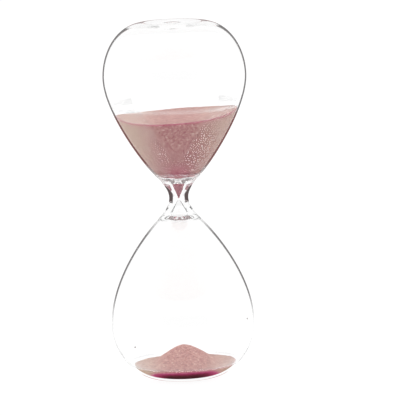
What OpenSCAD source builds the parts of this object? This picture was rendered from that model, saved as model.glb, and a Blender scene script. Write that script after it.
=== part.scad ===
// Frameless hourglass: two thin blown bulbs fused to a thick-walled neck, sealed at
// both flat ends, with dyed sand partly run through. It stands on z = 0, and its axis is Z.

/* [Overall] */
// Height over the two flat ends
height = 200; // [190:1:210]
// Height of the waist above the lower end
waist_z = 101.5; // [98:0.1:104]
// Widest outside diameter of the bulbs
bulb_d = 80; // [76:0.5:86]

/* [Bulbs] */
// Distance from a flat end to the bulb's widest ring
shoulder_h = 30.4; // [28:0.1:34]
// Radius of the flat in the middle of the upper end
upper_flat_r = 16; // [14:0.5:18]
// Radius of the flat in the middle of the lower end, which is a little rounder
lower_flat_r = 14.5; // [13:0.5:18]
// Share of the upper bulb's cone that stays near full width
upper_fullness = 0.33; // [0.3:0.01:0.46]
// Share of the lower bulb's cone that stays near full width
lower_fullness = 0.44; // [0.3:0.01:0.46]
// Wall thickness at the widest ring
belly_wall = 1; // [0.8:0.1:1.3]
// Wall thickness at the flat ends
end_wall = 1.4; // [1.2:0.1:1.8]
// Wall thickness where the bulbs are fused to the neck
seam_wall = 1.1; // [1:0.1:1.6]
// Diameter of the filling hole in the middle of each end
fill_d = 7; // [5:0.5:9]
// Depth of the hollow in the middle of each end
kick_up = 0.4; // [0.2:0.1:0.5]

/* [Neck] */
// Outside diameter at the waist
waist_d = 10.6; // [9.5:0.1:12]
// Distance from the waist to each fused seam
neck_half = 13; // [12.5:0.5:13.5]
// Outside radius at the fused seams
seam_r = 12.9; // [12.4:0.1:13.6]
// Slope of the outside at the seams, above horizontal
seam_slope = 47; // [44:0.5:52]
// Diameter of the orifice that the sand runs through
orifice_d = 1.1; // [0.8:0.1:1.6]
// Length of the orifice
orifice_l = 1; // [0.6:0.1:1.6]
// Distance of the orifice below the waist
orifice_drop = 0.8; // [0.4:0.1:1.4]
// Radius of the funnel's mouth above the orifice
funnel_r = 3.6; // [3.2:0.1:4]
// Radius of the flare's mouth below the orifice
flare_r = 5.4; // [4.6:0.1:5.8]

/* [Sand] */
// Level of the upper sand above the waist, on the axis
upper_level = 45.7; // [38:0.1:52]
// Tilt of the upper sand's surface, to the right
upper_tilt = 2.6; // [0:0.1:3]
// Level of the lower sand above the lower end, on the axis
lower_level = 7.9; // [5:0.1:9]
// Tilt of the lower sand's surface, to the right
lower_tilt = 0.7; // [0:0.1:2]
// Height of the heap above the lower sand's level
heap_h = 11.6; // [8:0.1:13]
// Angle of repose of the heap
heap_slope = 31; // [26:0.5:33]
// Air between the sand and the glass
sand_gap = 0.2; // [0.1:0.05:0.3]
// Diameter of the grains that cling to the glass
grain_d = 0.9; // [0.5:0.05:1]

/* [Hidden] */
$fn = 96;

glass_colour = [0.9, 0.94, 0.93, 0.35];
sand_colour = [0.78, 0.5, 0.53];

bulb_r = bulb_d / 2;
waist_r = waist_d / 2;
fill_r = fill_d / 2;
orifice_r = orifice_d / 2;
upper_h = height - waist_z;
lower_h = waist_z;

// Handles of the outline's curves
upper_shoulder_reach = 15;
lower_shoulder_reach = 14;
cone_reach = 10.8;
waist_reach = 4.2;
seam_reach = 6.7;

curve_steps = 20;
neck_steps = 8;

// The flat's rim to the hollow in the middle of an end
kick_up_r = 9;
seal_flange = 1.2;
seal_drop = 1.6;
seal_recess = 0.1;

// Height of each funnel's mouth from the waist, and the ledge of thick glass outside it
funnel_mouth = 9.6;
flare_mouth = 9.4;
ledge_rise = 1.6;

// The grains that cling inside the lower bulb: [turn about the axis, height above the lower end]
grain_places = [[224, 22.3], [337, 34.2]];
grain_clearance = 0.02;

// A cubic curve through p[0] and p[3] that leaves and arrives along p[1] and p[2]
function curve(p, n) = [
    for (i = [0:n])
        let (t = i / n, u = 1 - t)
        u * u * u * p[0] + 3 * u * u * t * p[1] + 3 * u * t * t * p[2] + t * t * t * p[3]
];

// The curve's points without its last one, to join it to the next curve
function but_last(points) = [for (i = [0:len(points) - 2]) points[i]];

function backwards(points) = [for (i = [len(points) - 1:-1:0]) points[i]];

function mirrored(points) = [for (p = points) [p[0], -p[1]]];

// Outside of a bulb as [radius, distance from the waist], from its seam to its flat end
function bulb_outside(h, fullness, flat_r, shoulder_reach) =
    let (belly = h - shoulder_h, slope = [cos(seam_slope), sin(seam_slope)])
    concat(
        but_last(curve([
            [seam_r, neck_half],
            [seam_r, neck_half] + cone_reach * slope,
            [bulb_r, belly - fullness * (belly - neck_half)],
            [bulb_r, belly]
        ], curve_steps)),
        curve([
            [bulb_r, belly],
            [bulb_r, belly + shoulder_reach],
            [flat_r + shoulder_reach, h],
            [flat_r, h]
        ], curve_steps)
    );

// Wall thickness at point i of a bulb's outside: thin at the belly, thicker at both ends
function wall_at(i) =
    i <= curve_steps
        ? seam_wall + (belly_wall - seam_wall) * i / curve_steps
        : belly_wall + (end_wall - belly_wall) * pow((i - curve_steps) / curve_steps, 2);

// The outside's points moved inwards, square to the curve, by the wall plus extra.
// The first point stays on the seam's plane, and the last on the flat's edge.
function inside_of(points, extra) =
    let (last = len(points) - 1)
    [
        for (i = [0:last])
            let (
                along = points[min(i + 1, last)] - points[max(i - 1, 0)],
                inward = [-along[1], along[0]] / norm(along),
                move = wall_at(i) + extra
            )
            i == 0 ? points[0] - [move / sin(seam_slope), 0]
            : i == last ? points[last] - [0, move]
            : points[i] + move * inward
    ];

// Where the outside of the upper and lower bulbs runs, as [radius, distance from the waist]
upper_outside = bulb_outside(upper_h, upper_fullness, upper_flat_r, upper_shoulder_reach);
lower_outside = bulb_outside(lower_h, lower_fullness, lower_flat_r, lower_shoulder_reach);
seam_inner_r = seam_r - seam_wall / sin(seam_slope);

// Half of the neck's outside, from its seam to the waist
neck_outside = curve([
    [seam_r, neck_half],
    [seam_r, neck_half] - seam_reach * [cos(seam_slope), sin(seam_slope)],
    [waist_r, waist_reach],
    [waist_r, 0]
], neck_steps);

// Inside of the neck from a seam, over the ledge of thick glass, down a funnel to the orifice
function funnel(mouth_r, mouth_h, orifice_h, seam_h) = concat(
    but_last(curve([
        [seam_inner_r, seam_h],
        [seam_inner_r - ledge_rise, seam_h - ledge_rise],
        [mouth_r + ledge_rise, mouth_h + ledge_rise],
        [mouth_r, mouth_h]
    ], neck_steps)),
    curve([
        [mouth_r, mouth_h],
        [mouth_r * 0.75, mouth_h - 0.25 * (mouth_h - orifice_h)],
        [orifice_r + 0.25 * (mouth_r - orifice_r), orifice_h + 0.25 * (mouth_h - orifice_h)],
        [orifice_r, orifice_h]
    ], neck_steps)
);

upper_orifice_h = orifice_l / 2 - orifice_drop;
lower_orifice_h = orifice_l / 2 + orifice_drop;
upper_funnel = funnel(funnel_r, funnel_mouth, upper_orifice_h, neck_half);
lower_flare = funnel(flare_r, flare_mouth, lower_orifice_h, neck_half);

// A bulb's shell, with its seam towards the waist at z = 0
module bulb_shell(outside, h) {
    inner = inside_of(outside, 0);
    difference() {
        rotate_extrude()
            polygon(concat(outside, [[0, h], [0, h - end_wall]], backwards(inner)));
        // the hollow that keeps the middle of the end off the table
        translate([0, 0, h - kick_up])
            cylinder(r1 = fill_r + 0.5, r2 = kick_up_r, h = kick_up + 0.01);
        translate([0, 0, h - 2 * end_wall])
            cylinder(r = fill_r, h = 3 * end_wall);
    }
}

module upper_bulb() {
    color(glass_colour)
        translate([0, 0, waist_z])
            bulb_shell(upper_outside, upper_h);
}

module lower_bulb() {
    color(glass_colour)
        translate([0, 0, waist_z])
            mirror([0, 0, 1])
                bulb_shell(lower_outside, lower_h);
}

module neck() {
    color(glass_colour)
        translate([0, 0, waist_z])
            rotate_extrude()
                polygon(concat(
                    but_last(neck_outside),
                    backwards(mirrored(neck_outside)),
                    mirrored(lower_flare),
                    backwards(upper_funnel)
                ));
}

// The flame-sealed button in a filling hole, its face towards +Z at z = 0
module end_seal() {
    button_t = end_wall - kick_up;
    translate([0, 0, -button_t])
        cylinder(r = fill_r, h = button_t - seal_recess);
    // the flange of glass that ran round the hole, and the drop that sagged from it
    translate([0, 0, -button_t])
        mirror([0, 0, 1])
            rotate_extrude()
                polygon(concat(
                    [[0, 0]],
                    curve([
                        [fill_r + seal_flange, 0],
                        [fill_r + seal_flange, 0.6],
                        [fill_r * 0.5, seal_drop],
                        [0, seal_drop]
                    ], neck_steps)
                ));
}

module upper_end_seal() {
    color(glass_colour)
        translate([0, 0, height - kick_up])
            end_seal();
}

module lower_end_seal() {
    color(glass_colour)
        translate([0, 0, kick_up])
            mirror([0, 0, 1])
                end_seal();
}

// The room inside a bulb, clear of its wall by the sand's gap, with the waist at z = 0
module bulb_room(outside, h) {
    inner = inside_of(outside, sand_gap);
    rotate_extrude()
        polygon(concat([[0, neck_half]], inner, [[0, h - end_wall - sand_gap]]));
}

// All that lies below a level, tilted about the Y axis so that +X is the higher side
module below(level, tilt) {
    reach = 4 * bulb_r;
    translate([0, 0, level])
        rotate([0, -tilt, 0])
            translate([-reach / 2, -reach / 2, -reach])
                cube(reach);
}

module upper_sand() {
    color(sand_colour)
        translate([0, 0, waist_z])
            intersection() {
                bulb_room(upper_outside, upper_h);
                below(upper_level, upper_tilt);
            }
}

// The sand in the neck's funnel, from the seam down into the orifice
module throat_sand() {
    skin = [for (p = upper_funnel) [max(p[0] - sand_gap, 0.3), p[1]]];
    color(sand_colour)
        translate([0, 0, waist_z])
            rotate_extrude()
                polygon(concat(skin, [[0, upper_orifice_h], [0, neck_half]]));
}

// The heap's cone with a rounded top, over the level at z = 0
module heap() {
    heap_r = heap_h / tan(heap_slope);
    tip = 3;
    rotate_extrude()
        polygon(concat(
            [[0, -1], [heap_r, -1], [heap_r, 0]],
            curve([
                [tip, heap_h - tip * tan(heap_slope)],
                [tip * 0.5, heap_h - tip * 0.5 * tan(heap_slope)],
                [tip * 0.4, heap_h - 0.4],
                [0, heap_h - 0.4]
            ], neck_steps)
        ));
}

module lower_sand() {
    seal_room = kick_up + end_wall + seal_drop + sand_gap;
    color(sand_colour)
        difference() {
            union() {
                intersection() {
                    translate([0, 0, waist_z])
                        mirror([0, 0, 1])
                            bulb_room(lower_outside, lower_h);
                    below(lower_level, lower_tilt);
                }
                translate([0, 0, lower_level])
                    heap();
            }
            // room for the seal's flange and drop
            cylinder(r = fill_r + seal_flange + sand_gap, h = seal_room);
        }
}

// Distance from the axis at which a grain's middle lies, when it clings inside the lower bulb
function grain_reach(z) =
    let (path = inside_of(lower_outside, grain_d / 2 + grain_clearance))
    lookup(waist_z - z, [for (p = path) [p[1], p[0]]]);

module clinging_grains() {
    color(sand_colour)
        for (place = grain_places)
            rotate([0, 0, place[0]])
                translate([grain_reach(place[1]), 0, place[1]])
                    sphere(d = grain_d, $fn = 24);
}

upper_bulb();
lower_bulb();
neck();
upper_end_seal();
lower_end_seal();
upper_sand();
throat_sand();
lower_sand();
clinging_grains();
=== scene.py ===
import math

import bmesh
import bpy
import numpy as np
from mathutils import Matrix, Vector, noise


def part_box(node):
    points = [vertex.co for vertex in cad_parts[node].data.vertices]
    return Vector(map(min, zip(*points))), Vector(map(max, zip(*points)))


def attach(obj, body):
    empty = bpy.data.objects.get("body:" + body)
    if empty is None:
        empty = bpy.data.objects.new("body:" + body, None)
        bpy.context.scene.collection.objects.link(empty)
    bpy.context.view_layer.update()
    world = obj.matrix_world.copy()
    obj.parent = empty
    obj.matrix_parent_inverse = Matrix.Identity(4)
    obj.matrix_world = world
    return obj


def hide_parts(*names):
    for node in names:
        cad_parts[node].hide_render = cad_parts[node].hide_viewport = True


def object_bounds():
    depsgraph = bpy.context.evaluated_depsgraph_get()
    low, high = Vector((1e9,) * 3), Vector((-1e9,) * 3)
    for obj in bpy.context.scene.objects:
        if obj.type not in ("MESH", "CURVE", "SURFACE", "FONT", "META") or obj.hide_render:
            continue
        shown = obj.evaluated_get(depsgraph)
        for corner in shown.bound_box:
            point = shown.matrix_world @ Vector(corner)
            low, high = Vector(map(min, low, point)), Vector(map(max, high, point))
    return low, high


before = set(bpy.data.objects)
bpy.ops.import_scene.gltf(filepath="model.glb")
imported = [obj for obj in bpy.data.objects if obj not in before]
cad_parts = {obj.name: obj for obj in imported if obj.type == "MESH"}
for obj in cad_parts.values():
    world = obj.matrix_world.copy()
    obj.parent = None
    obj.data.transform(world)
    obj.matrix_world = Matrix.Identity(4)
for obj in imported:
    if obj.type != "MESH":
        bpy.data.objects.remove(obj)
cad_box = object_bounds()
MM = 0.001


# ---------------------------------------------------------------- sizes, in metres

high = cad_box[1]
HEIGHT = high[2]
BULB_R = high[0]

neck_low, neck_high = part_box("neck")
SEAM_R = neck_high[0]
NECK_HALF = (neck_high[2] - neck_low[2]) / 2
WAIST_Z = (neck_high[2] + neck_low[2]) / 2
WAIST_R = 5.3 * MM
SEAM_SLOPE = math.radians(47)

SHOULDER_H = 30.4 * MM
UPPER_FULLNESS = 0.33
LOWER_FULLNESS = 0.44
BELLY_WALL = 1.0 * MM
END_WALL = 1.4 * MM
SEAM_WALL = 1.1 * MM
KICK_UP = 0.4 * MM
KICK_UP_R = 9 * MM

# Each end's shoulder: radius of its flat, and its curve's handles up and along
UPPER_END = (16 * MM, 15 * MM, 15 * MM)
LOWER_END = (14.5 * MM, 14 * MM, 14 * MM)

CONE_REACH = 10.8 * MM
SEAM_REACH = 6.7 * MM
WAIST_REACH = 4.2 * MM

ORIFICE_R = 0.55 * MM
ORIFICE_L = 1 * MM
ORIFICE_DROP = 0.8 * MM
FUNNEL_R = 3.6 * MM
FUNNEL_MOUTH = 9.6 * MM
FLARE_R = 5.4 * MM
FLARE_MOUTH = 9.4 * MM
LEDGE_RISE = 1.6 * MM

FILL_R = 3.5 * MM
SEAL_FLANGE = 1.2 * MM
SEAL_DROP = 1.6 * MM
SEAL_CURL = 0.6 * MM
SEAL_DIMPLE = 0.25 * MM
SEAL_RECESS = 0.1 * MM
SEAL_SIDE_GAP = 0.04 * MM
SEAL_GAP = 0.02 * MM

UPPER_LEVEL = 45.7 * MM
UPPER_TILT = math.radians(2.6)
UPPER_BACK_TILT = math.radians(0.6)
UPPER_BANK = 2.4 * MM
UPPER_BANK_LEFT = 3.0 * MM
LOWER_LEVEL = 7.9 * MM
LOWER_TILT = math.radians(0.7)
LOWER_BACK_TILT = math.radians(0.9)
LOWER_FRONT = 20 * MM
HEAP_H = 11.6 * MM
HEAP_SLOPE = math.radians(35)
HEAP_TIP_R = 5 * MM
HEAP_TIP_SHARE = 0.72
HEAP_FOOT = 1.2 * MM
SAND_GAP = 0.05 * MM

# The throat's sand draws in over this height to a few grains' width in the orifice
THROAT_PINCH = 0.3 * MM
THROAT_PINCH_H = 4 * MM
THROAT_TIP_R = 0.12 * MM

# Each grain that clings to the glass: degrees round the axis, and height
GRAIN_R = 0.45 * MM
GRAIN_GAP = 0.02 * MM
GRAIN_PLACES = ((224, 22.3 * MM), (337, 34.2 * MM))

CURVE_STEPS = 48
NECK_STEPS = 24
HOLLOW_STEPS = 12
LATHE_SEGMENTS = 256
SEAL_FACE_STEPS = 12
SEAL_DROP_STEPS = 16
SEAL_SEGMENTS = 96
THROAT_SEGMENTS = 128
SAND_SEGMENTS = 360
ON_AXIS = 1e-7


# ---------------------------------------------------------------- outlines

def curve(p0, p1, p2, p3, steps):
    """Points of a cubic curve from p0 to p3."""
    t = np.linspace(0, 1, steps + 1)[:, None]
    u = 1 - t
    p0, p1, p2, p3 = (np.array(p, float) for p in (p0, p1, p2, p3))
    return u**3 * p0 + 3 * u * u * t * p1 + 3 * u * t * t * p2 + t**3 * p3


def bulb_outside(h, fullness, end):
    """A bulb's outside as (radius, distance from the waist), from its seam to its flat end."""
    flat_r, rise, run = end
    belly = h - SHOULDER_H
    slope = np.array([math.cos(SEAM_SLOPE), math.sin(SEAM_SLOPE)])
    seam = np.array([SEAM_R, NECK_HALF])
    cone = curve(
        seam,
        seam + CONE_REACH * slope,
        (BULB_R, belly - fullness * (belly - NECK_HALF)),
        (BULB_R, belly),
        CURVE_STEPS,
    )
    shoulder = curve(
        (BULB_R, belly),
        (BULB_R, belly + rise),
        (flat_r + run, h),
        (flat_r, h),
        CURVE_STEPS,
    )
    return np.vstack([cone[:-1], shoulder])


def wall_at(i):
    """The wall's thickness at point i of a bulb's outside."""
    if i <= CURVE_STEPS:
        return SEAM_WALL + (BELLY_WALL - SEAM_WALL) * i / CURVE_STEPS
    return BELLY_WALL + (END_WALL - BELLY_WALL) * ((i - CURVE_STEPS) / CURVE_STEPS) ** 2


def inside_of(points, extra=0.0):
    """A bulb's inside, or with extra a skin that much further in."""
    last = len(points) - 1
    moved = []
    for i, point in enumerate(points):
        along = points[min(i + 1, last)] - points[max(i - 1, 0)]
        inward = np.array([-along[1], along[0]]) / np.linalg.norm(along)
        move = wall_at(i) + extra
        if i == 0:
            moved.append(point - [move / math.sin(SEAM_SLOPE), 0])
        elif i == last:
            moved.append(point - [0, move])
        else:
            moved.append(point + move * inward)
    return np.array(moved)


UPPER_H = HEIGHT - WAIST_Z
LOWER_H = WAIST_Z
upper_outside = bulb_outside(UPPER_H, UPPER_FULLNESS, UPPER_END)
lower_outside = bulb_outside(LOWER_H, LOWER_FULLNESS, LOWER_END)
SEAM_INNER_R = SEAM_R - SEAM_WALL / math.sin(SEAM_SLOPE)


def neck_outside():
    """The neck's outside from a seam to the waist."""
    seam = np.array([SEAM_R, NECK_HALF])
    slope = np.array([math.cos(SEAM_SLOPE), math.sin(SEAM_SLOPE)])
    return curve(seam, seam - SEAM_REACH * slope, (WAIST_R, WAIST_REACH), (WAIST_R, 0), NECK_STEPS)


def funnel(mouth_r, mouth_h, orifice_h):
    """The neck's inside from a seam, over the ledge of thick glass, to the orifice."""
    ledge = curve(
        (SEAM_INNER_R, NECK_HALF),
        (SEAM_INNER_R - LEDGE_RISE, NECK_HALF - LEDGE_RISE),
        (mouth_r + LEDGE_RISE, mouth_h + LEDGE_RISE),
        (mouth_r, mouth_h),
        NECK_STEPS,
    )
    drop = mouth_h - orifice_h
    handle = 0.25
    cone = curve(
        (mouth_r, mouth_h),
        (mouth_r * (1 - handle), mouth_h - handle * drop),
        (ORIFICE_R + handle * (mouth_r - ORIFICE_R), orifice_h + handle * drop),
        (ORIFICE_R, orifice_h),
        NECK_STEPS,
    )
    return np.vstack([ledge[:-1], cone])


UPPER_ORIFICE_H = ORIFICE_L / 2 - ORIFICE_DROP
LOWER_ORIFICE_H = ORIFICE_L / 2 + ORIFICE_DROP
upper_funnel = funnel(FUNNEL_R, FUNNEL_MOUTH, UPPER_ORIFICE_H)
lower_flare = funnel(FLARE_R, FLARE_MOUTH, LOWER_ORIFICE_H)


def up(points):
    """Points measured from the waist upwards, as (radius, z)."""
    return np.array([(r, WAIST_Z + d) for r, d in points])


def down(points):
    """Points measured from the waist downwards, as (radius, z)."""
    return np.array([(r, WAIST_Z - d) for r, d in points])


# ---------------------------------------------------------------- mesh helpers

def add_object(name, bm):
    """A smooth-shaded object made from bm, which is used up."""
    mesh = bpy.data.meshes.new(name)
    bmesh.ops.recalc_face_normals(bm, faces=bm.faces)
    for face in bm.faces:
        face.smooth = True
    bm.to_mesh(mesh)
    bm.free()
    piece = bpy.data.objects.new(name, mesh)
    bpy.context.scene.collection.objects.link(piece)
    return piece


def lathe(name, outline, closed=False, segments=LATHE_SEGMENTS, sharp=math.radians(40)):
    """Turn an outline of (radius, z) about Z. An open outline starts and ends on the axis."""
    bm = bmesh.new()
    rings = []
    for r, z in outline:
        if r < ON_AXIS:
            rings.append([bm.verts.new((0, 0, z))])
            continue
        rings.append([
            bm.verts.new((r * math.cos(a), r * math.sin(a), z))
            for a in (2 * math.pi * k / segments for k in range(segments))
        ])
    pairs = list(zip(rings[:-1], rings[1:]))
    if closed:
        pairs.append((rings[-1], rings[0]))
    for a, b in pairs:
        for k in range(segments):
            n = (k + 1) % segments
            if len(a) == 1:
                bm.faces.new((a[0], b[k], b[n]))
            elif len(b) == 1:
                bm.faces.new((a[k], a[n], b[0]))
            else:
                bm.faces.new((a[k], a[n], b[n], b[k]))
    piece = add_object(name, bm)
    piece.data.set_sharp_from_angle(angle=sharp)
    return piece


# ---------------------------------------------------------------- glass

def hollow(h_face, sign):
    """The smooth hollow round the filling hole, from its edge out to the flat."""
    radii = np.linspace(FILL_R, KICK_UP_R, HOLLOW_STEPS + 1)
    depth = KICK_UP * (1 + np.cos(math.pi * (radii - FILL_R) / (KICK_UP_R - FILL_R))) / 2
    return np.array([(r, h_face - sign * d) for r, d in zip(radii, depth)])


outer = np.vstack([
    hollow(HEIGHT, 1),
    up(upper_outside)[::-1],
    up(neck_outside())[1:],
    down(neck_outside())[::-1][1:-1],
    down(lower_outside),
    hollow(0.0, -1)[::-1],
])
inner = np.vstack([
    [(FILL_R, END_WALL)],
    down(inside_of(lower_outside))[::-1],
    down(lower_flare)[1:],
    up(upper_funnel)[::-1],
    up(inside_of(upper_outside))[1:],
    [(FILL_R, HEIGHT - END_WALL)],
])
glass = lathe("blown_glass", np.vstack([outer, inner]), closed=True)

# How uneven the glass is, and how often that changes round the axis and in a metre of height
NECK_LUMP = 0.16 * MM
NECK_WAVES = (1.9, 260)
WALL_LUMP = 0.14 * MM
WALL_WAVES = (1.3, 45)
WALL_NOISE_X = 7
LUMP_FADE = 10 * MM


def rounded(r, z):
    """A point of an outline in whole micrometres, so that two copies of it compare equal."""
    return round(r / MM, 3), round(z / MM, 3)


def blown_by_hand(piece, outer_points):
    """Thin the wall unevenly, and make the neck uneven. No inside point moves towards the sand."""
    outside = {rounded(r, z) for r, z in outer_points}
    for vert in piece.data.vertices:
        x, y, z = vert.co
        r = math.hypot(x, y)
        on_outside = rounded(r, z) in outside
        from_waist = abs(z - WAIST_Z)
        around = Vector((x, y, 0)) / r
        if from_waist < NECK_HALF:
            swell = math.sin(math.pi * from_waist / NECK_HALF) ** 2
            round_axis, along_axis = NECK_WAVES
            wave = noise.noise(around * round_axis + Vector((0, 0, z * along_axis)))
            amount = NECK_LUMP * swell * (wave if on_outside else abs(wave))
        elif not on_outside:
            round_axis, along_axis = WALL_WAVES
            wave = noise.noise(around * round_axis + Vector((WALL_NOISE_X, 0, z * along_axis)))
            amount = WALL_LUMP * (wave + 1) / 2 * min((from_waist - NECK_HALF) / LUMP_FADE, 1)
        else:
            continue
        vert.co.x += amount * around.x
        vert.co.y += amount * around.y


blown_by_hand(glass, outer)


def seal_outline():
    """A seal's outline from its outer face, at 0, to the drop inside, at -depth."""
    button = END_WALL - KICK_UP
    rim = FILL_R - SEAL_SIDE_GAP
    face = curve(
        (0, -SEAL_DIMPLE),
        (rim * 0.6, -SEAL_DIMPLE),
        (rim * 0.8, 0),
        (rim, -SEAL_RECESS),
        SEAL_FACE_STEPS,
    )
    drop = curve(
        (FILL_R + SEAL_FLANGE, -button - SEAL_GAP),
        (FILL_R + SEAL_FLANGE, -button - SEAL_CURL),
        (FILL_R * 0.5, -button - SEAL_DROP),
        (0, -button - SEAL_DROP),
        SEAL_DROP_STEPS,
    )
    return np.vstack([face, [(rim, -button - SEAL_GAP)], drop])


seals = {
    "top_seal": ("upper_end_seal", [(r, HEIGHT - KICK_UP + d) for r, d in seal_outline()]),
    "bottom_seal": ("lower_end_seal", [(r, KICK_UP - d) for r, d in seal_outline()]),
}
seal_pieces = {
    name: lathe(name, outline, segments=SEAL_SEGMENTS) for name, (_, outline) in seals.items()
}


# ---------------------------------------------------------------- sand

# How far out a bank is full, how wide the rim's colour is, how often the rim's radius is put
# right, and the radius that the upper skin is carried on to above its last point
BANK_R = 34 * MM
RIM_BAND = 0.8 * MM
RIM_SEARCH_STEPS = 40
SKIN_END_R = 20 * MM

# A surface's broad ripples are so high, and so many to a metre
UPPER_RIPPLES = (0.25 * MM, 90)
LOWER_RIPPLES = (0.2 * MM, 120)
FINE_RIPPLES = (0.12 * MM, 600)

# How pale a sand is at its right and left sides, which is painted light, and the distances from
# the middle between which that sets in
UPPER_PALE = (0.45, 0.75, 6 * MM, 26 * MM)
LOWER_PALE = (0.55, 0.80, 8 * MM, 24 * MM)
LOWER_PALE_ALL_OVER = 0.15

# How much deep colour shows low down in the middle of the upper sand, in the throat, and under
# the middle of the lower sand's rim. This deep colour is painted shade, darker where less light
# reaches the sand. The lower rim's own colour sets in from the left. Each pair is where it
# starts and where it is full.
UPPER_DEEP = 0.7
UPPER_DEEP_RISE = (24 * MM, 14 * MM)
UPPER_DEEP_SIDE = (11 * MM, 1 * MM)
THROAT_DEEP = 0.6
LOWER_DEEP_DROP = (0, 4.2 * MM)
LOWER_DEEP_SIDE = (22 * MM, 7 * MM)
LOWER_RIM = 0.9
LOWER_RIM_SIDE = (-22 * MM, -4 * MM)


def skin_radius(path):
    """A function from height to a skin's radius."""
    order = np.argsort(path[:, 1])
    heights, radii = path[order, 1], path[order, 0]
    return lambda z: float(np.interp(z, heights, radii))


def smooth_step(value, start, end):
    """0 until value reaches start, 1 from end on, and smooth between. end may be below start."""
    t = min(max((value - start) / (end - start), 0), 1)
    return t * t * (3 - 2 * t)


def polar_solid(name, top_z, bottom_z, radius_at, rings, walls, segments, pale, deep, rim_at):
    """A solid with a top surface top_z(x, y), sides that follow radius_at(z) and a flat bottom.

    Its points carry what the sand's colour depends on: pressed on the glass, where it is darker
    partly as painted shade, near the rim, pale at the two sides by pale(x), which is painted
    light, and deep in colour by deep(drop below the rim, place), which is painted shade. rim_at(x)
    is how much of the rim's colour shows."""
    bm = bmesh.new()
    layers = bm.verts.layers.float
    pressed, rim, painted_pale, rich = (layers.new(key) for key in ("pressed", "rim", "pale", "deep"))
    grid = []
    for k in range(segments):
        a = 2 * math.pi * k / segments
        ca, sa = math.cos(a), math.sin(a)
        rim_r = radius_at(bottom_z)
        for _ in range(RIM_SEARCH_STEPS):
            rim_r = radius_at(top_z(rim_r * ca, rim_r * sa))
        column = []
        for i in range(1, rings + 1):
            r = rim_r * i / rings
            column.append((r * ca, r * sa, top_z(r * ca, r * sa)))
        z_rim = top_z(rim_r * ca, rim_r * sa)
        for i in range(1, walls + 1):
            z = z_rim + (bottom_z - z_rim) * i / walls
            r = radius_at(z)
            column.append((r * ca, r * sa, z))
        grid.append([bm.verts.new(p) for p in column])
    centre = bm.verts.new((0, 0, top_z(0, 0)))
    base = bm.verts.new((0, 0, bottom_z))
    for column in grid:
        edge = column[rings - 1].co
        for vert in column:
            vert[painted_pale] = pale(vert.co.x)
        for vert in column[rings - 1:]:
            drop = edge.z - vert.co.z
            vert[pressed] = 1.0
            vert[rim] = rim_at(vert.co.x) * math.exp(-(vert.co - edge).length / RIM_BAND)
            vert[rich] = deep(drop, vert.co)
    for k in range(segments):
        here, there = grid[k], grid[(k + 1) % segments]
        bm.faces.new((centre, here[0], there[0]))
        for i in range(len(here) - 1):
            bm.faces.new((here[i], here[i + 1], there[i + 1], there[i]))
        bm.faces.new((base, there[-1], here[-1]))
    return add_object(name, bm)


def ripple(x, y, broad, broad_layer, fine_layer):
    """How far a sand's surface stands up at a place, from two layers of noise."""
    total = 0
    for (height, waves), layer in ((broad, broad_layer), (FINE_RIPPLES, fine_layer)):
        total += height * noise.noise(Vector((x, y, layer)) * waves)
    return total


def pale_sides(x, sides):
    """How pale a sand is at x: painted light on its two sides."""
    right, left, start, end = sides
    return (right if x > 0 else left) * smooth_step(abs(x), start, end)


def upper_top(x, y):
    """The height of the upper sand's surface, which leans and banks up at its sides."""
    lean = math.tan(UPPER_TILT) * x + math.tan(UPPER_BACK_TILT) * y
    bank = (UPPER_BANK if x > 0 else UPPER_BANK_LEFT) * min(abs(x) / BANK_R, 1.0) ** 4
    return WAIST_Z + UPPER_LEVEL + lean + bank + ripple(x, y, UPPER_RIPPLES, 0, 3)


def upper_deep(_, place):
    """How much of the deep colour, a painted shade, shows at a place on the upper sand's side: most
    low down in the middle.
    """
    low_down = smooth_step(place.z - WAIST_Z, *UPPER_DEEP_RISE)
    return UPPER_DEEP * low_down * smooth_step(abs(place.x), *UPPER_DEEP_SIDE)


upper_skin = skin_radius(
    np.vstack([up(inside_of(upper_outside, SAND_GAP)), [(SKIN_END_R, HEIGHT)]])
)
upper_sand = polar_solid(
    "upper_sand_fill", upper_top, WAIST_Z + NECK_HALF, upper_skin,
    rings=70, walls=90, segments=SAND_SEGMENTS,
    pale=lambda x: pale_sides(x, UPPER_PALE),
    deep=upper_deep,
    rim_at=lambda x: 1.0,
)


def throat_radius(r, d):
    """The throat's sand beside a point of the funnel."""
    return max(r - SAND_GAP - THROAT_PINCH * smooth_step(d, THROAT_PINCH_H, 0), THROAT_TIP_R)


throat_path = up([(throat_radius(r, d), d) for r, d in upper_funnel])
throat_sand = lathe(
    "throat_sand_fill",
    np.vstack([[(0, WAIST_Z + NECK_HALF)], throat_path, [(0, WAIST_Z + UPPER_ORIFICE_H)]]),
    segments=THROAT_SEGMENTS,
)


def set_level(piece, key, level):
    """Give every point of a piece the same level of what its colour depends on."""
    for item in piece.data.attributes.new(key, "FLOAT", "POINT").data:
        item.value = level


set_level(throat_sand, "pressed", 1.0)
# The throat's deep colour is painted shade.
set_level(throat_sand, "deep", THROAT_DEEP)


def lower_top(x, y):
    """The height of the lower sand's surface: a leaning bed, and a heap with a round tip."""
    bed = LOWER_LEVEL + math.tan(LOWER_TILT) * x - math.tan(LOWER_BACK_TILT) * (y + LOWER_FRONT)
    steepness = math.tan(HEAP_SLOPE)
    from_tip = math.hypot(math.hypot(x, y), HEAP_TIP_R)
    cone = HEAP_H + HEAP_TIP_R * steepness * HEAP_TIP_SHARE - steepness * from_tip
    heap = HEAP_FOOT * math.log1p(math.exp(cone / HEAP_FOOT))
    return bed + heap + ripple(x, y, LOWER_RIPPLES, 9, 5)


def lower_deep(drop, place):
    """How much of the deep colour, a painted shade that darkens the sand towards the bottom, shows
    at a place on the lower sand's side.
    """
    return smooth_step(drop, *LOWER_DEEP_DROP) * smooth_step(abs(place.x), *LOWER_DEEP_SIDE)


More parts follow.
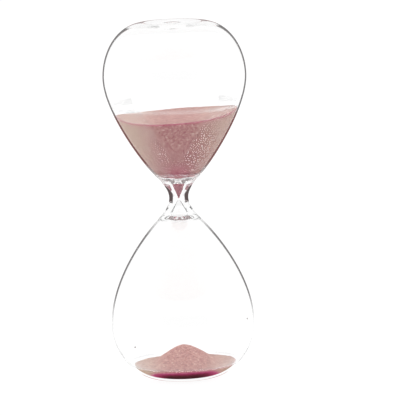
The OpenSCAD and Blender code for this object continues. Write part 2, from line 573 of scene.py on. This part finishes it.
lower_skin = skin_radius(down(inside_of(lower_outside, SAND_GAP)))
lower_sand = polar_solid(
    "lower_sand_fill", lower_top, END_WALL + SAND_GAP, lower_skin,
    rings=70, walls=30, segments=SAND_SEGMENTS,
    pale=lambda x: LOWER_PALE_ALL_OVER + pale_sides(x, LOWER_PALE),
    deep=lower_deep,
    rim_at=lambda x: LOWER_RIM * smooth_step(x, *LOWER_RIM_SIDE),
)


def grain(name, place):
    """One grain of sand, a lumpy ball."""
    lump, waves = 0.25, 4000
    bm = bmesh.new()
    bmesh.ops.create_icosphere(bm, subdivisions=2, radius=GRAIN_R)
    for vert in bm.verts:
        vert.co *= 1 + lump * noise.noise(vert.co * waves)
        vert.co += Vector(place)
    return add_object(name, bm)


clinging = []
grain_skin = skin_radius(down(inside_of(lower_outside, GRAIN_R + GRAIN_GAP)))
for number, (turn, z) in enumerate(GRAIN_PLACES):
    r = grain_skin(z)
    a = math.radians(turn)
    clinging.append(grain(f"clinging_grain_{number + 1}", (r * math.cos(a), r * math.sin(a), z)))


# ---------------------------------------------------------------- materials

class Tree:
    """A node tree, with short ways to add the nodes that this script needs."""

    def __init__(self, owner):
        owner.use_nodes = True
        self.nodes = owner.node_tree.nodes
        self.links = owner.node_tree.links
        self.nodes.clear()

    def ramp(self, value, start, end, low=0.0, high=1.0):
        """low until value reaches start, high from end on, and a smooth step between."""
        node = self.nodes.new("ShaderNodeMapRange")
        node.interpolation_type = "SMOOTHSTEP"
        keys = ("From Min", "From Max", "To Min", "To Max")
        for key, number in zip(keys, (start, end, low, high)):
            node.inputs[key].default_value = number
        self.links.new(value, node.inputs["Value"])
        return node.outputs["Result"]

    def math(self, operation, *values):
        """A Math node's result, on outputs or numbers."""
        node = self.nodes.new("ShaderNodeMath")
        node.operation = operation
        for socket, value in zip(node.inputs, values):
            if isinstance(value, (int, float)):
                socket.default_value = value
            else:
                self.links.new(value, socket)
        return node.outputs["Value"]

    def product(self, first, *others):
        """An output times other outputs or numbers."""
        for other in others:
            first = self.math("MULTIPLY", first, other)
        return first

    def blend(self, amount, first, second):
        """first where amount is 0 and second where it is 1, each an output or a colour."""
        node = self.nodes.new("ShaderNodeMix")
        node.data_type = "RGBA"
        self.links.new(amount, node.inputs["Factor"])
        for socket, colour in ((node.inputs[6], first), (node.inputs[7], second)):
            if isinstance(colour, tuple):
                socket.default_value = (*colour, 1)
            else:
                self.links.new(colour, socket)
        return node.outputs[2]

    def object_place(self):
        """The place on the piece, in metres from the object's origin."""
        return self.nodes.new("ShaderNodeTexCoord").outputs["Object"]

    def rise(self):
        """The height above the waist."""
        return self.math("SUBTRACT", self.axes(self.object_place())["Z"], WAIST_Z)

    def axes(self, vector):
        """A vector's X, Y and Z."""
        node = self.nodes.new("ShaderNodeSeparateXYZ")
        self.links.new(vector, node.inputs["Vector"])
        return node.outputs

    def attribute(self, name):
        """A number that the mesh's points carry, or 0 where they don't."""
        node = self.nodes.new("ShaderNodeAttribute")
        node.attribute_name = name
        return node.outputs["Fac"]

    def facing(self):
        """0 where the surface is seen square on, to 1 where it is seen edge-on."""
        node = self.nodes.new("ShaderNodeLayerWeight")
        node.inputs["Blend"].default_value = 0.5
        return node.outputs["Facing"]


# Where each of the glass's painted dark lines, which stand in for its reflections and
# refractions of dark surroundings, and its dull bands lies. A pair is where it starts to set in
# and where it is full.

# The wall's painted dark line, which stands in for the dark surroundings that the wall mirrors,
# by how squarely the wall is seen, how upright its normal is, its height and its distance from
# the waist, next to which a part of the line is left
WALL_MIRROR = (1.0, 0.85)
WALL_UPRIGHT = (0.93, 0.85)
ABOVE_TABLE = (22 * MM, 50 * MM)
OFF_NECK = (8 * MM, 22 * MM)
LINE_AT_NECK = 0.25

# The wall's painted dark line beside the upper sand, tinted like the sand as a painted
# reflection of it, by the height above the waist
BESIDE_SAND_FROM = (12 * MM, 22 * MM)
BESIDE_SAND_TO = (50 * MM, 44 * MM)

# The far rim's painted reflection of the sand, a pinkish line, by how it faces and how upright
# its normal is
RIM_FACING = (0.86, 0.92)
RIM_UPRIGHT = (0.84, 0.90)

# The waist's painted dark edges, which stand in for dark surroundings seen through the solid
# glass, by the height above the waist and by facing. From the first height of WAIST_NARROWS to
# the second, the facing at which it turns dark goes from the first of WAIST_FACING to the
# second, give or take WAIST_SOFTNESS.
WAIST_FROM = (-2.8 * MM, -2.0 * MM)
WAIST_TO = (7.6 * MM, 6.6 * MM)
WAIST_NARROWS = (1.5 * MM, 7 * MM)
WAIST_FACING = (0.22, 0.62)
WAIST_SOFTNESS = (-0.06, 0.04)

# The flare's painted dark lines, which stand in for its reflections, likewise
FLARE_FROM = (-9.5 * MM, -8.5 * MM)
FLARE_TO = (-1.5 * MM, -2.5 * MM)
FLARE_FACING = (0.46, 0.54)

# Where sand lies on the wall at rest, by height
LOWER_DULL_TO = (9.5 * MM, 7.5 * MM)
UPPER_DULL_FROM = (WAIST_Z + 13 * MM, WAIST_Z + 15 * MM)
UPPER_DULL_TO = (WAIST_Z + 54 * MM, WAIST_Z + 50 * MM)
UPPER_DULL = 0.92


def edge_of_wall(tree):
    """1 where the outside is seen so flatly that the wall under it mirrors, but for the ends. There
    a painted dark line stands in for the dark surroundings that it mirrors.
    """
    place = tree.nodes.new("ShaderNodeTexCoord")
    spot = tree.axes(place.outputs["Object"])
    squares = [tree.math("POWER", spot[axis], 2) for axis in "XY"]
    radius = tree.math("SQRT", tree.math("ADD", *squares))
    thickness = tree.math("DIVIDE", BELLY_WALL, radius)
    inside = tree.math("SUBTRACT", 1, thickness)
    mirror_from = tree.math("SQRT", tree.math("SUBTRACT", 1, tree.math("POWER", inside, 2)))
    squareness = tree.math("DIVIDE", tree.math("SUBTRACT", 1, tree.facing()), mirror_from)
    upright = tree.math("ABSOLUTE", tree.axes(place.outputs["Normal"])["Z"])
    from_waist = tree.math("ABSOLUTE", tree.math("SUBTRACT", spot["Z"], WAIST_Z))
    return tree.product(
        tree.ramp(squareness, *WALL_MIRROR),
        tree.ramp(upright, *WALL_UPRIGHT),
        tree.ramp(spot["Z"], *ABOVE_TABLE),
        tree.ramp(from_waist, *OFF_NECK, LINE_AT_NECK, 1),
    )


def edge_by_sand(tree):
    """The part of the wall's edge that the upper sand lies against, where the painted dark line is
    tinted like the sand as a painted reflection of it.
    """
    rise = tree.rise()
    return tree.product(
        edge_of_wall(tree), tree.ramp(rise, *BESIDE_SAND_FROM), tree.ramp(rise, *BESIDE_SAND_TO)
    )


def far_rim(tree):
    """1 on the rim of the upper end that is seen edge-on, where a pinkish painted reflection of the
    sand is drawn.
    """
    place = tree.nodes.new("ShaderNodeTexCoord")
    upright = tree.axes(place.outputs["Normal"])["Z"]
    return tree.product(tree.ramp(tree.facing(), *RIM_FACING), tree.ramp(upright, *RIM_UPRIGHT))


def edge_of_waist(tree):
    """1 towards the edges of the solid waist, where painted shade stands in for the dark
    surroundings seen through the thick glass. Further up the dark part narrows into the edge."""
    rise = tree.rise()
    start = tree.ramp(rise, *WAIST_NARROWS, *WAIST_FACING)
    dark = tree.ramp(tree.math("SUBTRACT", tree.facing(), start), *WAIST_SOFTNESS)
    return tree.product(dark, tree.ramp(rise, *WAIST_FROM), tree.ramp(rise, *WAIST_TO))


def edge_of_flare(tree):
    """1 on the flare's wall where it is seen nearly along itself, where a painted dark line stands
    in for its reflections.
    """
    rise = tree.rise()
    return tree.product(
        tree.ramp(tree.facing(), *FLARE_FACING),
        tree.ramp(rise, *FLARE_FROM),
        tree.ramp(rise, *FLARE_TO),
    )


def over_sand(tree):
    """How far sand that lies against the wall dulls its reflections."""
    height = tree.axes(tree.object_place())["Z"]
    on_upper = tree.product(
        tree.ramp(height, *UPPER_DULL_FROM), tree.ramp(height, *UPPER_DULL_TO), UPPER_DULL
    )
    return tree.math("MAXIMUM", tree.ramp(height, *LOWER_DULL_TO), on_upper)


GLASS_IOR = 1.47


def glass_material(name, tints=(), lines=()):
    """Clear glass that lets lamps through. Tints colour what shows through it, and lines are
    drawn on it as a thin see-through layer. Both are painted shade and painted reflections.
    Each is (where, colour)."""
    material = bpy.data.materials.new(name)
    tree = Tree(material)
    output = tree.nodes.new("ShaderNodeOutputMaterial")
    shader = tree.nodes.new("ShaderNodeBsdfPrincipled")
    shader.inputs["Base Color"].default_value = (1, 1, 1, 1)
    shader.inputs["Transmission Weight"].default_value = 1.0
    shader.inputs["IOR"].default_value = GLASS_IOR
    shader.inputs["Roughness"].default_value = 0.0
    colour = (1, 1, 1)
    for where, tint in tints:
        colour = tree.blend(where(tree), colour, tint)
    if tints:
        tree.links.new(colour, shader.inputs["Base Color"])
    see_through = tree.nodes.new("ShaderNodeBsdfTransparent")
    path = tree.nodes.new("ShaderNodeLightPath")
    amount = tree.math("MAXIMUM", path.outputs["Is Shadow Ray"], over_sand(tree))
    painted_line_colour = (1, 1, 1)
    for where, tint in lines:
        here = where(tree)
        painted_line_colour = tree.blend(here, painted_line_colour, tint)
        amount = tree.math("MAXIMUM", amount, here)
    if lines:
        tree.links.new(painted_line_colour, see_through.inputs["Color"])
    mix = tree.nodes.new("ShaderNodeMixShader")
    tree.links.new(amount, mix.inputs["Fac"])
    tree.links.new(shader.outputs["BSDF"], mix.inputs[1])
    tree.links.new(see_through.outputs["BSDF"], mix.inputs[2])
    tree.links.new(mix.outputs["Shader"], output.inputs["Surface"])
    return material


# Tones from the darkest grain to the lightest, for sand in each kind of place
LOOSE = (
    (0.0, (0.45, 0.18, 0.18)),
    (0.5, (0.66, 0.31, 0.29)),
    (0.85, (0.75, 0.43, 0.38)),
    (1.0, (0.96, 0.72, 0.66)),
)
# The pale tones here and on the glass below are painted light, used most on the sand's two sides.
PALE = (
    (0.0, (0.59, 0.39, 0.33)),
    (0.5, (0.83, 0.58, 0.50)),
    (0.85, (0.89, 0.67, 0.56)),
    (1.0, (0.97, 0.86, 0.75)),
)
# Darker tones where the sand lies on the glass: partly how sand against glass looks, partly painted
# shade on the sides, which get less light than the top.
PACKED_AND_SHADED = (
    (0.0, (0.30, 0.10, 0.12)),
    (0.5, (0.43, 0.21, 0.21)),
    (0.85, (0.51, 0.30, 0.27)),
    (1.0, (0.67, 0.54, 0.46)),
)
PACKED_AND_SHADED_PALE = (
    (0.0, (0.38, 0.24, 0.18)),
    (0.5, (0.56, 0.42, 0.33)),
    (0.85, (0.64, 0.49, 0.37)),
    (1.0, (0.80, 0.66, 0.52)),
)
RIM = ((0.0, (0.42, 0.07, 0.13)), (0.6, (0.60, 0.14, 0.23)), (1.0, (0.72, 0.30, 0.36)))
# Painted shade: darker, deeper tones for the middle of the upper sand and for the throat.
RICH = ((0.0, (0.34, 0.07, 0.12)), (0.6, (0.47, 0.13, 0.20)), (1.0, (0.62, 0.28, 0.33)))
DUSTY = ((0.0, (0.38, 0.34, 0.33)), (1.0, (0.55, 0.50, 0.49)))

# Painted shade: tones from the rim of the lower sand, darker down to where it meets the end of
# the glass
DEPTHS = (
    (0.0, (0.58, 0.20, 0.30)),
    (0.25, (0.42, 0.07, 0.16)),
    (0.6, (0.22, 0.03, 0.065)),
    (1.0, (0.06, 0.018, 0.02)),
)

# Cells or waves to a metre, and how much each changes a grain's tone
FINE_GRAINS = (2600, 0.55)
COARSE_GRAINS = (1300, 0.45)
CLUMPS = (900, 0.9)
PATCHES = (330, 0.6)
DEPTH_UNEVENNESS = -0.25
DEPTH_SETS_IN = (0.0, 0.2)

SAND_ROUGHNESS = 0.9
SAND_SPECULAR = 0.2
SHEEN_ROUGHNESS = 0.4
SHEEN_TINT = (1.0, 0.93, 0.80, 1)
UPPER_SHEEN = 0.2
BUMP_STRENGTH = 0.7
BUMP_HEIGHT = 0.2 * MM


def sand_material(name, sheen, rich=None, depths=None):
    """Dyed sand: each grain has its own tone, and where the sand lies sets the range of tones. Some
    ranges are painted light and shade: paler sides, darker sides on the glass, and a deeper,
    darker colour low down, in the middle and in the throat.
    """
    material = bpy.data.materials.new(name)
    tree = Tree(material)
    output = tree.nodes.new("ShaderNodeOutputMaterial")
    shader = tree.nodes.new("ShaderNodeBsdfPrincipled")
    shader.inputs["Roughness"].default_value = SAND_ROUGHNESS
    shader.inputs["Specular IOR Level"].default_value = 0.0 if depths else SAND_SPECULAR
    shader.inputs["Sheen Weight"].default_value = sheen
    shader.inputs["Sheen Roughness"].default_value = SHEEN_ROUGHNESS
    shader.inputs["Sheen Tint"].default_value = SHEEN_TINT
    tree.links.new(shader.outputs["BSDF"], output.inputs["Surface"])

    def cells(scale):
        """Each grain's own number from 0 to 1, and its height."""
        node = tree.nodes.new("ShaderNodeTexVoronoi")
        node.inputs["Scale"].default_value = scale
        tree.links.new(tree.object_place(), node.inputs["Vector"])
        split = tree.nodes.new("ShaderNodeSeparateColor")
        tree.links.new(node.outputs["Color"], split.inputs["Color"])
        return split.outputs["Red"], node.outputs["Distance"]

    def waves(scale):
        """Noise with its middle at 0."""
        node = tree.nodes.new("ShaderNodeTexNoise")
        node.inputs["Scale"].default_value = scale
        tree.links.new(tree.object_place(), node.inputs["Vector"])
        return tree.math("SUBTRACT", node.outputs["Fac"], 0.5)

    def tones(stops, value):
        """The colour at value along a ramp of (position, colour) stops."""
        node = tree.nodes.new("ShaderNodeValToRGB")
        elements = node.color_ramp.elements
        elements[0].position, elements[0].color = stops[0][0], (*stops[0][1], 1)
        elements[1].position, elements[1].color = stops[-1][0], (*stops[-1][1], 1)
        for position, colour in stops[1:-1]:
            elements.new(position).color = (*colour, 1)
        tree.links.new(value, node.inputs["Fac"])
        return node.outputs["Color"]

    fine, fine_height = cells(FINE_GRAINS[0])
    coarse, coarse_height = cells(COARSE_GRAINS[0])
    tone = tree.product(fine, FINE_GRAINS[1])
    tone = tree.math("MULTIPLY_ADD", coarse, COARSE_GRAINS[1], tone)
    tone = tree.math("MULTIPLY_ADD", waves(CLUMPS[0]), CLUMPS[1], tone)
    loose = tree.math("SUBTRACT", 1, tree.attribute("pressed"))
    patches = tree.product(waves(PATCHES[0]), loose)
    tone = tree.math("MULTIPLY_ADD", patches, PATCHES[1], tone)

    pale = tree.attribute("pale")
    deep = tree.attribute("deep")
    on_top = tree.blend(pale, tones(LOOSE, tone), tones(PALE, tone))
    on_glass = tree.blend(pale, tones(PACKED_AND_SHADED, tone), tones(PACKED_AND_SHADED_PALE, tone))
    colour = tree.blend(tree.attribute("pressed"), on_top, on_glass)
    colour = tree.blend(tree.attribute("rim"), colour, tones(RIM, tone))
    if rich:
        colour = tree.blend(deep, colour, tones(rich, tone))
    if depths:
        from_middle = tree.math("SUBTRACT", tone, 0.5)
        uneven = tree.math("MULTIPLY_ADD", from_middle, DEPTH_UNEVENNESS, deep)
        colour = tree.blend(tree.ramp(deep, *DEPTH_SETS_IN), colour, tones(depths, uneven))
    tree.links.new(colour, shader.inputs["Base Color"])
    bump = tree.nodes.new("ShaderNodeBump")
    bump.inputs["Strength"].default_value = BUMP_STRENGTH
    bump.inputs["Distance"].default_value = BUMP_HEIGHT
    tree.links.new(tree.math("ADD", fine_height, coarse_height), bump.inputs["Height"])
    tree.links.new(bump.outputs["Normal"], shader.inputs["Normal"])
    return material


# How much light the glass's painted dark lines let through, of each colour. They stand in for
# reflections and shade.
FLARE_TINT = (0.03, 0.03, 0.03)
RIM_TINT = (0.72, 0.58, 0.58)
WALL_TINT = (0.46, 0.45, 0.45)
BESIDE_SAND_TINT = (0.45, 0.30, 0.29)
WAIST_TINT = (0.33, 0.29, 0.29)

clear_glass = glass_material("clear_glass")
neck_glass = glass_material("clear_glass_neck", tints=[(edge_of_flare, FLARE_TINT)])
rimmed_glass = glass_material(
    "clear_glass_outside",
    lines=[
        (far_rim, RIM_TINT),
        (edge_of_wall, WALL_TINT),
        (edge_by_sand, BESIDE_SAND_TINT),
        (edge_of_waist, WAIST_TINT),
    ],
)
for look in (clear_glass, rimmed_glass, neck_glass):
    glass.data.materials.append(look)
OUTSIDE, NECK_INSIDE = 1, 2
for face in glass.data.polygons:
    middle = face.center
    if face.normal.x * middle.x + face.normal.y * middle.y > 0:
        face.material_index = OUTSIDE
    elif abs(middle.z - WAIST_Z) < NECK_HALF:
        face.material_index = NECK_INSIDE
for piece in seal_pieces.values():
    piece.data.materials.append(clear_glass)

upper_sand_look = sand_material("dyed_sand", sheen=UPPER_SHEEN, rich=RICH)
lower_sand_look = sand_material("dyed_sand_below", sheen=0.0, depths=DEPTHS)
grain_look = sand_material("dusty_grain", sheen=0.0, rich=DUSTY)
for piece in (upper_sand, throat_sand):
    piece.data.materials.append(upper_sand_look)
lower_sand.data.materials.append(lower_sand_look)
for piece in clinging:
    set_level(piece, "deep", 1.0)
    piece.data.materials.append(grain_look)


# ---------------------------------------------------------------- which body each piece rides on

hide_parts("upper_bulb", "neck", "lower_bulb")
for name, (node, _) in seals.items():
    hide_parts(node)
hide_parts("upper_sand")
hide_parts("throat_sand")
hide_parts("lower_sand")
for piece in clinging:
    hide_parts("clinging_grains")

for piece in [glass] + list(seal_pieces.values()) + clinging:
    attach(piece, "glass")
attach(upper_sand, "upper_sand_body")
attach(throat_sand, "upper_sand_body")
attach(lower_sand, "lower_sand_body")


# ---------------------------------------------------------------- floor, light and camera

# The floor glows, like a lit table, so that it stays white under the glass. Its near and far
# parts are separate lamps, so that the near one, which lights the sand most, gets its share.
FLOOR_GLOW = 0.96
FLOOR_SHADE = 0.10
NEAR_FLOOR_R = 0.22
FAR_FLOOR_R = 20
FLOOR_STEPS = 96

# The brightness of the light from each way. BELOW_FROM and FRONT_FROM are where along Z and Y
# it changes.
WORLD_HORIZON = 0.95
WORLD_TOP = 1.15
WORLD_BELOW = 0.12
BELOW_FROM = (-0.05, 0.0)
WORLD_FRONT = 0.6
FRONT_FROM = (-0.2, -0.9)
LIGHT_BOUNCES = 24

CAMERA_DISTANCE = 2.455
CAMERA_ELEVATION = math.radians(8)
CAMERA_ROLL = math.radians(2)
CAMERA_LENS = 380.8
CAMERA_SENSOR = 36
CAMERA_SEES_TO = 100
TARGET_BELOW_WAIST = 0.9 * MM
AIM_RIGHT = 16.1 * MM
AIM_DOWN = 5.6 * MM


def floor_material():
    """A pale matt surface that also glows."""
    material = bpy.data.materials.new("pale_floor")
    tree = Tree(material)
    output = tree.nodes.new("ShaderNodeOutputMaterial")
    matte = tree.nodes.new("ShaderNodeBsdfDiffuse")
    matte.inputs["Color"].default_value = (FLOOR_SHADE, FLOOR_SHADE, FLOOR_SHADE, 1)
    glow = tree.nodes.new("ShaderNodeEmission")
    glow.inputs["Strength"].default_value = FLOOR_GLOW
    both = tree.nodes.new("ShaderNodeAddShader")
    tree.links.new(matte.outputs["BSDF"], both.inputs[0])
    tree.links.new(glow.outputs["Emission"], both.inputs[1])
    tree.links.new(both.outputs["Shader"], output.inputs["Surface"])
    return material


def floor_ring(name, inner_r, outer_r, material):
    """A flat ring of floor, or a disc if inner_r is 0."""
    bm = bmesh.new()
    turns = [2 * math.pi * k / FLOOR_STEPS for k in range(FLOOR_STEPS)]
    outside = [bm.verts.new((outer_r * math.cos(a), outer_r * math.sin(a), 0)) for a in turns]
    if inner_r == 0:
        bm.faces.new(outside)
    else:
        inside = [bm.verts.new((inner_r * math.cos(a), inner_r * math.sin(a), 0)) for a in turns]
        for k in range(FLOOR_STEPS):
            n = (k + 1) % FLOOR_STEPS
            bm.faces.new((inside[k], outside[k], outside[n], inside[n]))
    piece = add_object(name, bm)
    piece.data.materials.append(material)


pale_floor = floor_material()
floor_ring("near_floor", 0, NEAR_FLOOR_R, pale_floor)
floor_ring("far_floor", NEAR_FLOOR_R, FAR_FLOOR_R, pale_floor)


def studio_world():
    """Soft light from above and all round, dimmer from the front and dark below."""
    world = bpy.data.worlds.new("studio")
    tree = Tree(world)
    output = tree.nodes.new("ShaderNodeOutputWorld")
    background = tree.nodes.new("ShaderNodeBackground")
    background.inputs["Color"].default_value = (1, 1, 1, 1)
    tree.links.new(background.outputs["Background"], output.inputs["Surface"])
    place = tree.nodes.new("ShaderNodeTexCoord")
    way = tree.axes(place.outputs["Generated"])
    overhead = tree.ramp(way["Z"], 0, 1, WORLD_HORIZON, WORLD_TOP)
    below = tree.ramp(way["Z"], *BELOW_FROM, WORLD_BELOW, 1)
    front = tree.ramp(way["Y"], *FRONT_FROM, 1, WORLD_FRONT)
    strength = tree.product(overhead, below, front)
    tree.links.new(strength, background.inputs["Strength"])
    return world


scene = bpy.context.scene
scene.world = studio_world()
scene.view_settings.view_transform = "Standard"
scene.cycles.use_denoising = True
scene.cycles.max_bounces = LIGHT_BOUNCES
scene.cycles.glossy_bounces = LIGHT_BOUNCES
scene.cycles.transmission_bounces = LIGHT_BOUNCES
scene.cycles.transparent_max_bounces = LIGHT_BOUNCES


def add_camera():
    """The camera: to the front, a little above the waist, rolled a little."""
    target = Vector((0, 0, WAIST_Z - TARGET_BELOW_WAIST))
    back = Vector((0, -math.cos(CAMERA_ELEVATION), math.sin(CAMERA_ELEVATION)))
    place = target + CAMERA_DISTANCE * back
    right = Vector((1, 0, 0))
    aim = target + AIM_RIGHT * right - AIM_DOWN * back.cross(right)
    forward = (aim - place).normalized()
    right = forward.cross(Vector((0, 0, 1))).normalized()
    upward = right.cross(forward)
    x = math.cos(CAMERA_ROLL) * right - math.sin(CAMERA_ROLL) * upward
    y = math.sin(CAMERA_ROLL) * right + math.cos(CAMERA_ROLL) * upward
    camera = bpy.data.objects.new("camera", bpy.data.cameras.new("camera"))
    camera.data.lens = CAMERA_LENS
    camera.data.sensor_width = CAMERA_SENSOR
    camera.data.clip_end = CAMERA_SEES_TO
    camera.matrix_world = Matrix.Translation(place) @ Matrix((x, y, -forward)).transposed().to_4x4()
    scene.collection.objects.link(camera)
    bpy.context.scene.camera = camera


add_camera()
